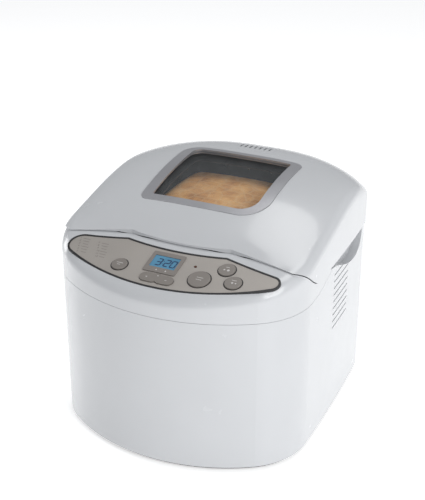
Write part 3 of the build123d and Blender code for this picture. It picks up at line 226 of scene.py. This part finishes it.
OVEN = metal("oven_sheet", (0.20, 0.20, 0.21), 0.38, (1, 1, 8), 200.0)
LINER = metal("liner_coated", (0.045, 0.046, 0.05), 0.42, (6, 1, 1), 160.0, metallic=0.55)
STEEL = metal("ground_steel", (0.56, 0.56, 0.57), 0.28, (1, 1, 14), 300.0)
ZINC = metal("zinc_screws", (0.60, 0.60, 0.58), 0.34, scale=900.0)
GALVANISED = metal("galvanised", (0.48, 0.49, 0.51), 0.42, scale=70.0, marks=0.00001)
CAST = metal("cast_alloy", (0.50, 0.50, 0.50), 0.5, scale=1200.0, marks=0.00008)
ELEMENT = metal("element_sheath", (0.17, 0.15, 0.14), 0.45, scale=240.0, tint=(0.10, 0.075, 0.07))
CAN = metal("motor_can", (0.16, 0.17, 0.18), 0.4, (1, 1, 5), 260.0)
COPPER_WIRE = metal("handle_wire", (0.62, 0.45, 0.32), 0.3, (8, 8, 8), 60.0)
PAN = metal("pan_coating", (0.085, 0.086, 0.09), 0.4, scale=1600.0, marks=0.00003, metallic=0.6)
print("metals ready")


# %% [markdown]
# ## Clear pieces
# The windows are thin panes. A pane that shows what is behind it reads best as a glossy
# skin with low alpha, which also travels well to other programs; the display's lens is
# tinted blue, and its backlight is a gentle emission that fades to one side.

# %% Glass and display
def pane(name, color, alpha, roughness=0.04):
    finish = Finish(name, Base_Color=(*color, 1), IOR=1.5, Specular_IOR_Level=0.6)
    smudge = finish.cloud(60.0, 6.0, rough=0.65)
    finish.feed("Alpha", finish.spread(smudge, 0.35, 0.8, alpha, alpha + 0.02))
    finish.feed("Roughness", finish.spread(smudge, 0.3, 0.8, roughness, roughness + 0.04))
    finish.material.surface_render_method = "DITHERED"
    return finish.material


WINDOW = pane("window_pane", (0.75, 0.78, 0.80), 0.02)
LED_LENS = moulded("led_lens", (0.10, 0.045, 0.03), 0.25)


def backlit(name, color, glow):
    finish = Finish(
        name, Roughness=0.18, Coat_Weight=0.6, Coat_Roughness=0.04, Emission_Strength=glow)
    fade = finish.cloud(40.0, 1.0)
    dark, light = (tuple(c * tint for c in color) for tint in (0.8, 1.15))
    tone = finish.ramp(fade, (0.25, dark), (0.75, light))
    finish.feed("Base Color", tone)
    finish.feed("Emission Color", tone)
    finish.bump(finish.cloud(3000.0, 1.0), 0.000004, 0.3)
    return finish.material


DISPLAY = backlit("display_blue", (0.07, 0.22, 0.35), 0.2)
DIGIT = moulded("display_digit", (0.012, 0.035, 0.10), 0.3)
MARK = moulded("pale_mark", (0.62, 0.60, 0.58), 0.4)
PRINT = moulded("grey_print", (0.20, 0.185, 0.17), 0.45)


# %% [markdown]
# ## Boards and other hidden pieces
# A circuit board is a green solder mask over copper. A brick pattern gives straight
# traces at a believable pitch without drawing a real circuit.

# %% Hidden pieces
def board_finish():
    finish = Finish("solder_mask", Coat_Weight=0.4)
    traces = finish.node("ShaderNodeTexBrick", {"offset": 0.5}, {
        "Vector": finish.place(), "Scale": 160.0, "Mortar Size": 0.03,
        "Color1": (0.01, 0.10, 0.04, 1),
        "Color2": (0.015, 0.13, 0.05, 1), "Mortar": (0.06, 0.22, 0.09, 1)})
    finish.feed("Base Color", traces)
    finish.feed("Roughness", finish.spread(finish.cloud(200.0), 0.3, 0.7, 0.3, 0.45))
    finish.bump(finish.cloud(900.0), 0.00003, 0.5)
    return finish.material


BOARD = board_finish()
CERAMIC = moulded("fuse_ceramic", (0.62, 0.60, 0.55), 0.4, ripple=0.00005)


# %% Give every frame node its finish
FINISHES = {
    WHITE: ["body_shell", "control_deck", "lid_shell"],
    HINGE_WHITE: ["hinge_brackets", "hinge_arms"],
    BLACK: ["base_tray", "rear_grille", "cord_gland", "vent_insert", "key_switches"],
    SEAM_RUBBER: ["panel_gasket", "drive_belt"],
    KEY_TAUPE: ["menu_button", "start_button", "size_button", "crust_button", "timer_rocker"],
    BEZEL_TAUPE: ["lcd_bezel"],
    PANEL_TAUPE: ["control_panel"],
    SILVER: ["window_frame"],
    WINDOW: ["window_glass", "inner_glass"],
    DISPLAY: ["lcd_lens", "lcd_module"],
    LED_LENS: ["indicator_led"],
    FOOT_RUBBER: ["rubber_feet"],
    SILICONE: ["lid_seal"],
    NYLON: ["large_pulley", "pan_bush"],
    OVEN: ["oven_chamber"],
    LINER: ["lid_inner_panel"],
    STEEL: ["motor_shaft", "drive_shaft", "pan_shaft", "hinge_pins", "temperature_sensor"],
    ZINC: [
        "board_screws", "chassis_screws", "tray_screws", "bracket_screws", "lid_screws",
        "element_clips"],
    GALVANISED: ["chassis_plate", "motor_capacitor"],
    CAST: [
        "pan_seat", "drive_bearing", "motor_pulley", "drive_coupling", "pan_collar",
        "pan_coupling"],
    ELEMENT: ["heating_element"],
    CAN: ["motor"],
    COPPER_WIRE: ["pan_handle"],
    PAN: ["baking_pan", "kneading_paddle"],
    BOARD: ["control_board", "power_board"],
    CERAMIC: ["thermal_fuse"],
}
for material, names in FINISHES.items():
    for name in names:
        for slot in nodes[name].material_slots:
            slot.link = "OBJECT"
            slot.material = material
print("finished nodes:", sum(len(names) for names in FINISHES.values()))

# %% [markdown]
# ## Surfaces and new pieces
# Rivets sit on a liner that is already in the frame. A tree of its faces lets a ray find
# the surface, so nothing has to be measured twice. Every added detail is made by one
# function, which closes the mesh, turns its faces outward and puts it on its body.

# %% Surface trees and added pieces
def surface_of(name):
    mesh = nodes[name].data
    return BVHTree.FromPolygons([v.co for v in mesh.vertices], [p.vertices for p in mesh.polygons])


def new_piece(name, verts, faces, material, body, smooth=True):
    """A mesh piece that rides on a body."""
    mesh = bpy.data.meshes.new(name)
    mesh.from_pydata(verts, [], faces)
    mesh.update()
    piece = bpy.data.objects.new(name, mesh)
    bpy.context.scene.collection.objects.link(piece)
    bm = bmesh.new()
    bm.from_mesh(mesh)
    bmesh.ops.remove_doubles(bm, verts=bm.verts, dist=1e-7)
    bmesh.ops.recalc_face_normals(bm, faces=bm.faces)
    bm.to_mesh(mesh)
    bm.free()
    for polygon in mesh.polygons:
        polygon.use_smooth = smooth
    mesh.materials.append(material)
    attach(piece, body)
    return piece


# %% [markdown]
# ## Panel coordinates
# The keys, the display and the printed marks all lie on one sloping plane. Three
# directions describe it: across, along its slope and straight up out of it.

# %% The panel plane
SLOPE = radians(16.2)
UP = Vector((0, -sin(SLOPE), cos(SLOPE)))
ALONG = Vector((0, cos(SLOPE), sin(SLOPE)))
ACROSS = Vector((1, 0, 0))
lens_low, lens_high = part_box("lcd_lens")


def key_face(name):
    """Middle of a key's top face, and its distances across and along the panel."""
    points = [v.co for v in nodes[name].data.vertices]
    top = max(p.dot(UP) for p in points)
    face = [p for p in points if p.dot(UP) > top - 0.0001]
    middle = sum(face, Vector()) / len(face)
    reach = max((p - middle).length for p in face)
    return middle, reach


for key in ("menu_button", "start_button", "size_button", "crust_button"):
    print(key, "radius", round(key_face(key)[1] * 1000, 1), "mm")


def plate(name, outlines, origin, thickness, material, body, sunk=0.0001):
    """Flat marks on the panel plane: each outline is a closed list of (across, along)."""
    verts, faces = [], []
    for outline in outlines:
        base = len(verts)
        count = len(outline)
        for lift in (-sunk, thickness):
            for a, b in outline:
                verts.append(origin + ACROSS * a + ALONG * b + UP * lift)
        faces.append([base + i for i in reversed(range(count))])
        faces.append([base + count + i for i in range(count)])
        for i in range(count):
            j = (i + 1) % count
            faces.append([base + i, base + j, base + count + j, base + count + i])
    return new_piece(name, verts, faces, material, body, smooth=False)


# %% [markdown]
# ## The display
# Seven-segment digits are dark bars under the lens. Each digit is a choice of segments,
# and each segment is a six-sided bar, so the whole time is a short loop over a table of
# which segments are on.

# %% Digits
SEGMENTS = {"3": "abcdg", "2": "abdeg", "0": "abcdef"}
DIGIT_WIDTH, DIGIT_HEIGHT, BAR = 0.0050, 0.0095, 0.0012
LEAN = 0.09
COLON_X, COLON_RADIUS = -0.0018, 0.0005


def bar(ax, ay, bx, by, width):
    """Six-sided bar between two points, with pointed ends."""
    start, end = Vector((ax, ay)), Vector((bx, by))
    way = (end - start).normalized()
    side = Vector((-way.y, way.x)) * width / 2
    inset = way * width / 2
    points = [start, start + inset + side, end - inset + side,
              end, end - inset - side, start + inset - side]
    return [(p.x + LEAN * p.y, p.y) for p in points]


def digit(character, x, y):
    w, h, m = DIGIT_WIDTH, DIGIT_HEIGHT, DIGIT_HEIGHT / 2
    ends = {
        "a": (0, h, w, h), "b": (w, m, w, h), "c": (w, 0, w, m), "d": (0, 0, w, 0),
        "e": (0, 0, 0, m), "f": (0, m, 0, h), "g": (0, m, w, m),
    }
    bars = []
    for segment in SEGMENTS[character]:
        x1, y1, x2, y2 = ends[segment]
        bars.append(bar(x + x1, y + y1, x + x2, y + y2, BAR))
    return bars


lens_middle = (lens_low + lens_high) / 2
lens_top = max(v.co.dot(UP) for v in nodes["lcd_lens"].data.vertices)
lens_face = lens_middle + UP * (lens_top - lens_middle.dot(UP))
outlines = []
for character, x in (("3", -0.0088), ("2", 0.0002), ("0", 0.0074)):
    outlines += digit(character, x, -0.0052)
for y in (-0.0026, 0.0018):
    turns = [t * pi / 4 for t in range(8)]
    outlines.append([
        (COLON_X + LEAN * y + COLON_RADIUS * cos(t), y + COLON_RADIUS * sin(t)) for t in turns])
plate("display_digits", outlines, lens_face, 0.00012, DIGIT, "housing")


# %% Pointers under the lens
def triangle(a, b, size):
    return [(a - size / 2, b), (a + size / 2, b), (a, b + size)]


bezel_top = max(v.co.dot(UP) for v in nodes["lcd_bezel"].data.vertices)
bezel_face = lens_middle + UP * (bezel_top - lens_middle.dot(UP))
pointers = [triangle(-0.0035, -0.0133, 0.0021), triangle(0.0068, -0.0133, 0.0021)]
plate("display_pointers", pointers, bezel_face, 0.0001, MARK, "housing")


# %% [markdown]
# ## Marks on the keys
# Each key carries a small pale mark. Words are left out; short bars and dots show where
# the print is. The marks ride with their key, so they sink with it when it is pressed.

# %% Key marks
def dash(a, b, length, height=0.0006):
    return [(a - length / 2, b - height / 2), (a + length / 2, b - height / 2),
            (a + length / 2, b + height / 2), (a - length / 2, b + height / 2)]


def dot(a, b, radius, count=14):
    turns = [2 * pi * i / count for i in range(count)]
    return [(a + radius * cos(t), b + radius * sin(t)) for t in turns]


MARK_PROUD = 0.00008
KEY_MARKS = {
    "menu_button": [dash(0, 0.0014, 0.0072), dash(-0.0004, -0.0012, 0.0036)],
    "start_button": [dash(0.0002, 0.0018, 0.0070), dash(0, -0.0014, 0.0058)],
    "size_button": [
        dash(0, 0.0030, 0.0038), dot(-0.0024, -0.0010, 0.0009), dot(0.0020, -0.0010, 0.0014)],
    "crust_button": [
        dash(0, 0.0030, 0.0052), dot(-0.0006, -0.0008, 0.0011), dot(0.0030, -0.0008, 0.0008)],
}
for key, outlines in KEY_MARKS.items():
    body = key.replace("_button", "_key")
    name = key.replace("_button", "_marks")
    plate(name, outlines, key_face(key)[0], MARK_PROUD, MARK, body)
rocker_middle = key_face("timer_rocker")[0]
rocker_marks = [
    dash(-0.0110, -0.0008, 0.0018), dash(0.0105, -0.0008, 0.0020), dot(0, 0.0034, 0.0007)]
rocker_marks.append([(b - 0.0118, a - 0.0110 + 0.0102) for a, b in dash(0, 0.0008, 0.0018)])
plate("timer_marks", rocker_marks, rocker_middle, MARK_PROUD, MARK, "timer_key")


# %% [markdown]
# ## The programme list
# Printed columns stand at the left of the panel. Plain numbers take the place of words.
# Text starts as a curve, becomes a mesh, and is then laid on the sloping plane.

# %% Printed numbers
ROW_SHIFT = 0.0014
PRINT_LEVEL, PRINT_THICKNESS = 0.00006, 0.00005


def printed_numbers(name, numbers, across, along, size, pitch):
    verts, faces = [], []
    origin = lens_middle + UP * (panel_top - lens_middle.dot(UP))
    for row, number in enumerate(numbers):
        curve = bpy.data.curves.new(name + "_text", "FONT")
        curve.body = str(number)
        curve.size = size
        curve.resolution_u = 3
        text = bpy.data.objects.new(name + "_text", curve)
        bpy.context.scene.collection.objects.link(text)
        bpy.context.view_layer.update()
        graph = bpy.context.evaluated_depsgraph_get()
        mesh = bpy.data.meshes.new_from_object(text.evaluated_get(graph))
        base = len(verts)
        left, low = across + row * ROW_SHIFT, along - row * pitch
        for v in mesh.vertices:
            a, b = left + v.co.x, low + v.co.y
            verts.append(origin + ACROSS * a + ALONG * b + UP * PRINT_LEVEL)
        faces += [[base + i for i in p.vertices] for p in mesh.polygons]
        bpy.data.objects.remove(text)
        bpy.data.meshes.remove(mesh)
        bpy.data.curves.remove(curve)
        length = 0.0085 - 0.0013 * (row % 3)
        lines = dash(left + 0.0080, low + size * 0.33, length, 0.0005)
        base = len(verts)
        verts += [origin + ACROSS * a + ALONG * b + UP * PRINT_LEVEL for a, b in lines]
        faces.append([base, base + 1, base + 2, base + 3])
    piece = new_piece(name, verts, faces, PRINT, "housing", smooth=False)
    thick = piece.modifiers.new("thickness", "SOLIDIFY")
    thick.thickness = PRINT_THICKNESS
    return piece


panel_top = max(v.co.dot(UP) for v in nodes["control_panel"].data.vertices)
KEY_RADII = {
    "menu_button": 0.0083, "start_button": 0.0114, "size_button": 0.0088, "crust_button": 0.0088}
printed_numbers("list_left", range(1, 7), -0.1060, 0.0095, 0.0034, 0.0040)
printed_numbers("list_right", range(7, 13), -0.0830, 0.0080, 0.0034, 0.0040)
print("panel marks ready")

# %% [markdown]
# ## Painted shade round the keys
# Each key floats in its opening, and the shade in the gap reads as a thin dark line. A flat black
# ring just outside the key, a hair above the panel, paints that shade and gives the line its width.

# %% Rings of painted gap shade
def gap_ring(name, middle, radius, width=0.0009):
    """Flat black ring on the panel that paints the shade of a key's gap: four loops of points,
    closed into a band.
    """
    count = 64
    loops = []
    low, high, outer = -0.0001, 0.00012, radius + width
    turns = [2 * pi * i / count for i in range(count)]
    for reach, lift in ((radius, low), (radius, high), (outer, high), (outer, low)):
        loops.append([
            panel_origin + ACROSS * (middle[0] + reach * cos(t))
            + ALONG * (middle[1] + reach * sin(t)) + UP * lift for t in turns])
    verts = [v for loop in loops for v in loop]
    faces = []
    for k in range(4):
        for i in range(count):
            a, b = k * count + i, k * count + (i + 1) % count
            c, d = ((k + 1) % 4) * count + (i + 1) % count, ((k + 1) % 4) * count + i
            faces.append([a, b, c, d])
    # The gasket black paints the shade of the gap.
    return new_piece(name, verts, faces, SEAM_RUBBER, "housing", smooth=False)


panel_origin = lens_middle + UP * (panel_top - lens_middle.dot(UP))
# Painted shade: one black ring round each key.
for key in ("menu_button", "start_button", "size_button", "crust_button"):
    face, reach = key_face(key)
    centre = ((face - panel_origin).dot(ACROSS), (face - panel_origin).dot(ALONG))
    gap_ring(key.replace("_button", "_gap"), centre, KEY_RADII[key] + 0.0002)
print("gap rings:", len(KEY_RADII))

# %% [markdown]
# ## The loaf
# A baked crust is not one brown: the crown is deep gold with darker blisters, the
# shoulders are paler, and fine cracks let the crumb show. All of this is colour and a
# shallow bump on the loaf of the frame, so it keeps the room the loaf was given.

# %% Crust finish
def crust_finish():
    finish = Finish("crust", Subsurface_Weight=0.0, Specular_IOR_Level=0.35)
    patches = finish.cloud(38.0, 6.0, rough=0.62)
    veins = finish.node("ShaderNodeTexVoronoi", {"feature": "DISTANCE_TO_EDGE"}, {
        "Vector": finish.place(), "Scale": 70.0})
    gold = finish.ramp(patches, (0.25, (0.36, 0.15, 0.04)), (0.45, (0.66, 0.32, 0.10)),
                       (0.60, (0.80, 0.44, 0.16)), (0.80, (0.88, 0.60, 0.30)))
    pale = finish.spread(veins, 0.0, 0.12, 0.35, 0.0)
    finish.feed("Base Color", finish.node("ShaderNodeMix", {"data_type": "RGBA"}, {
        0: pale, 6: gold, 7: (0.80, 0.56, 0.30, 1)}, out=2))
    finish.feed("Roughness", finish.spread(patches, 0.3, 0.7, 0.5, 0.7))
    grain = finish.cloud(900.0, 4.0)
    finish.bump(grain * 0.5 + patches * 0.5, 0.0009, 0.8)
    return finish.material


CRUST = crust_finish()
for slot in nodes["bread_loaf"].material_slots:
    slot.link = "OBJECT"
    slot.material = CRUST

# %% [markdown]
# ## Rivets on the liner
# The dark liner round the window is held by small light rivets. One low dome is a
# template; Geometry Nodes puts a copy at each point of a short list, and the result is
# turned into a plain mesh.

# %% Rivets
def dome_template(radius, height):
    mesh = bpy.data.meshes.new("rivet_template")
    bm = bmesh.new()
    bmesh.ops.create_uvsphere(bm, u_segments=16, v_segments=8, radius=1.0)
    bmesh.ops.scale(bm, vec=(radius, height, radius), verts=bm.verts)
    bm.to_mesh(mesh)
    bm.free()
    return bpy.data.objects.new("rivet_template", mesh)


def scatter_tree():
    """A tree with two named inputs: the template and the finish of its copies."""
    tree = bpy.data.node_groups.new("rivet_rows", "GeometryNodeTree")
    tree.interface.new_socket("Points", in_out="INPUT", socket_type="NodeSocketGeometry")
    template = tree.interface.new_socket("Template", in_out="INPUT", socket_type="NodeSocketObject")
    finish = tree.interface.new_socket("Finish", in_out="INPUT", socket_type="NodeSocketMaterial")
    tree.interface.new_socket("Rivets", in_out="OUTPUT", socket_type="NodeSocketGeometry")
    start, end = tree.nodes.new("NodeGroupInput"), tree.nodes.new("NodeGroupOutput")
    copies = tree.nodes.new("GeometryNodeInstanceOnPoints")
    info = tree.nodes.new("GeometryNodeObjectInfo")
    real = tree.nodes.new("GeometryNodeRealizeInstances")
    paint = tree.nodes.new("GeometryNodeSetMaterial")
    tree.links.new(start.outputs["Points"], copies.inputs["Points"])
    tree.links.new(start.outputs["Template"], info.inputs["Object"])
    tree.links.new(info.outputs["Geometry"], copies.inputs["Instance"])
    tree.links.new(copies.outputs["Instances"], real.inputs["Geometry"])
    tree.links.new(real.outputs["Geometry"], paint.inputs["Geometry"])
    tree.links.new(start.outputs["Finish"], paint.inputs["Material"])
    tree.links.new(paint.outputs["Geometry"], end.inputs["Rivets"])
    return tree, template.identifier, finish.identifier


LINER_SURFACE = surface_of("lid_inner_panel")
RIVETS = [-0.046, -0.017, 0.012, 0.041]
RIVET_HEIGHT = 0.226
RIVET_RADIUS, RIVET_PROUD = 0.0016, 0.0006
points = []
for x in RIVETS:
    hit = LINER_SURFACE.ray_cast(Vector((x, 0.03, RIVET_HEIGHT)), Vector((0, 1, 0)))[0]
    if hit:
        points.append(hit)
print("rivets:", len(points))
carrier_mesh = bpy.data.meshes.new("rivet_points")
carrier_mesh.from_pydata(points, [], [])
carrier = bpy.data.objects.new("rivet_points", carrier_mesh)
template = dome_template(RIVET_RADIUS, RIVET_PROUD)
for helper in (carrier, template):
    bpy.context.scene.collection.objects.link(helper)
tree, template_input, finish_input = scatter_tree()
rows = carrier.modifiers.new("rivets", "NODES")
rows.node_group = tree
rows[template_input], rows[finish_input] = template, STEEL
bpy.context.view_layer.update()
graph = bpy.context.evaluated_depsgraph_get()
rivet_mesh = bpy.data.meshes.new_from_object(carrier.evaluated_get(graph))
for helper in (carrier, template):
    bpy.data.objects.remove(helper)
rivets = bpy.data.objects.new("liner_rivets", rivet_mesh)
bpy.context.scene.collection.objects.link(rivets)
for polygon in rivet_mesh.polygons:
    polygon.use_smooth = True
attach(rivets, "lid")

# %% [markdown]
# ## Camera and light
# A longish lens from a little above and to the right, over a pale floor, with broad
# lights so that the gloss shows soft gradients.

# %% Camera
FOOTPRINT_SHIFT = -0.00635
TARGET = Vector((-0.0195, 0.0435 + FOOTPRINT_SHIFT, 0.1587))
AZIMUTH, ELEVATION, DISTANCE = radians(25.9), radians(25.1), 1.2452
back = Vector((sin(AZIMUTH) * cos(ELEVATION), -cos(AZIMUTH) * cos(ELEVATION), sin(ELEVATION)))
camera_data = bpy.data.cameras.new("camera")
camera_data.sensor_width = 36.0
camera_data.lens = 78.55
camera_data.clip_end = 20.0
camera = bpy.data.objects.new("camera", camera_data)
camera.location = TARGET + back * DISTANCE
camera.rotation_euler = (-back).to_track_quat("-Z", "Y").to_euler()
bpy.context.scene.collection.objects.link(camera)
bpy.context.scene.camera = camera

# %% Floor
floor_mesh = bpy.data.meshes.new("floor")
REACH = 6.0
corners = [(-REACH, -REACH, 0), (REACH, -REACH, 0), (REACH, REACH, 0), (-REACH, REACH, 0)]
floor_mesh.from_pydata(corners, [], [[0, 1, 2, 3]])
floor = bpy.data.objects.new("floor", floor_mesh)
bpy.context.scene.collection.objects.link(floor)
pale = Finish(
    "floor_white", Base_Color=(0.9, 0.9, 0.9, 1), Roughness=0.3,
    Emission_Color=(1, 1, 1, 1), Emission_Strength=0.55)
floor_mesh.materials.append(pale.material)


# %% Lights
def soft_light(name, place, aim, size, power, color=(1, 1, 1)):
    data = bpy.data.lights.new(name, "AREA")
    data.shape = "RECTANGLE"
    data.size, data.size_y = size
    data.energy = power
    data.color = color
    lamp = bpy.data.objects.new(name, data)
    lamp.location = place
    lamp.rotation_euler = (Vector(aim) - Vector(place)).to_track_quat("-Z", "Y").to_euler()
    bpy.context.scene.collection.objects.link(lamp)


soft_light("key", (1.5, -0.9, 1.0), (0, 0, 0.12), (0.9, 1.4), 17)
soft_light("rim", (-1.7, 0.2, 0.7), (0, 0, 0.15), (0.4, 1.2), 7)
soft_light("top", (0.1, 0.6, 1.9), (0, 0, 0.2), (1.2, 0.9), 10)
world = bpy.data.worlds.new("studio")
world.use_nodes = True
world.node_tree.nodes["Background"].inputs["Color"].default_value = (0.95, 0.97, 1.0, 1)
world.node_tree.nodes["Background"].inputs["Strength"].default_value = 0.36
bpy.context.scene.world = world
bpy.context.scene.view_settings.view_transform = "Standard"
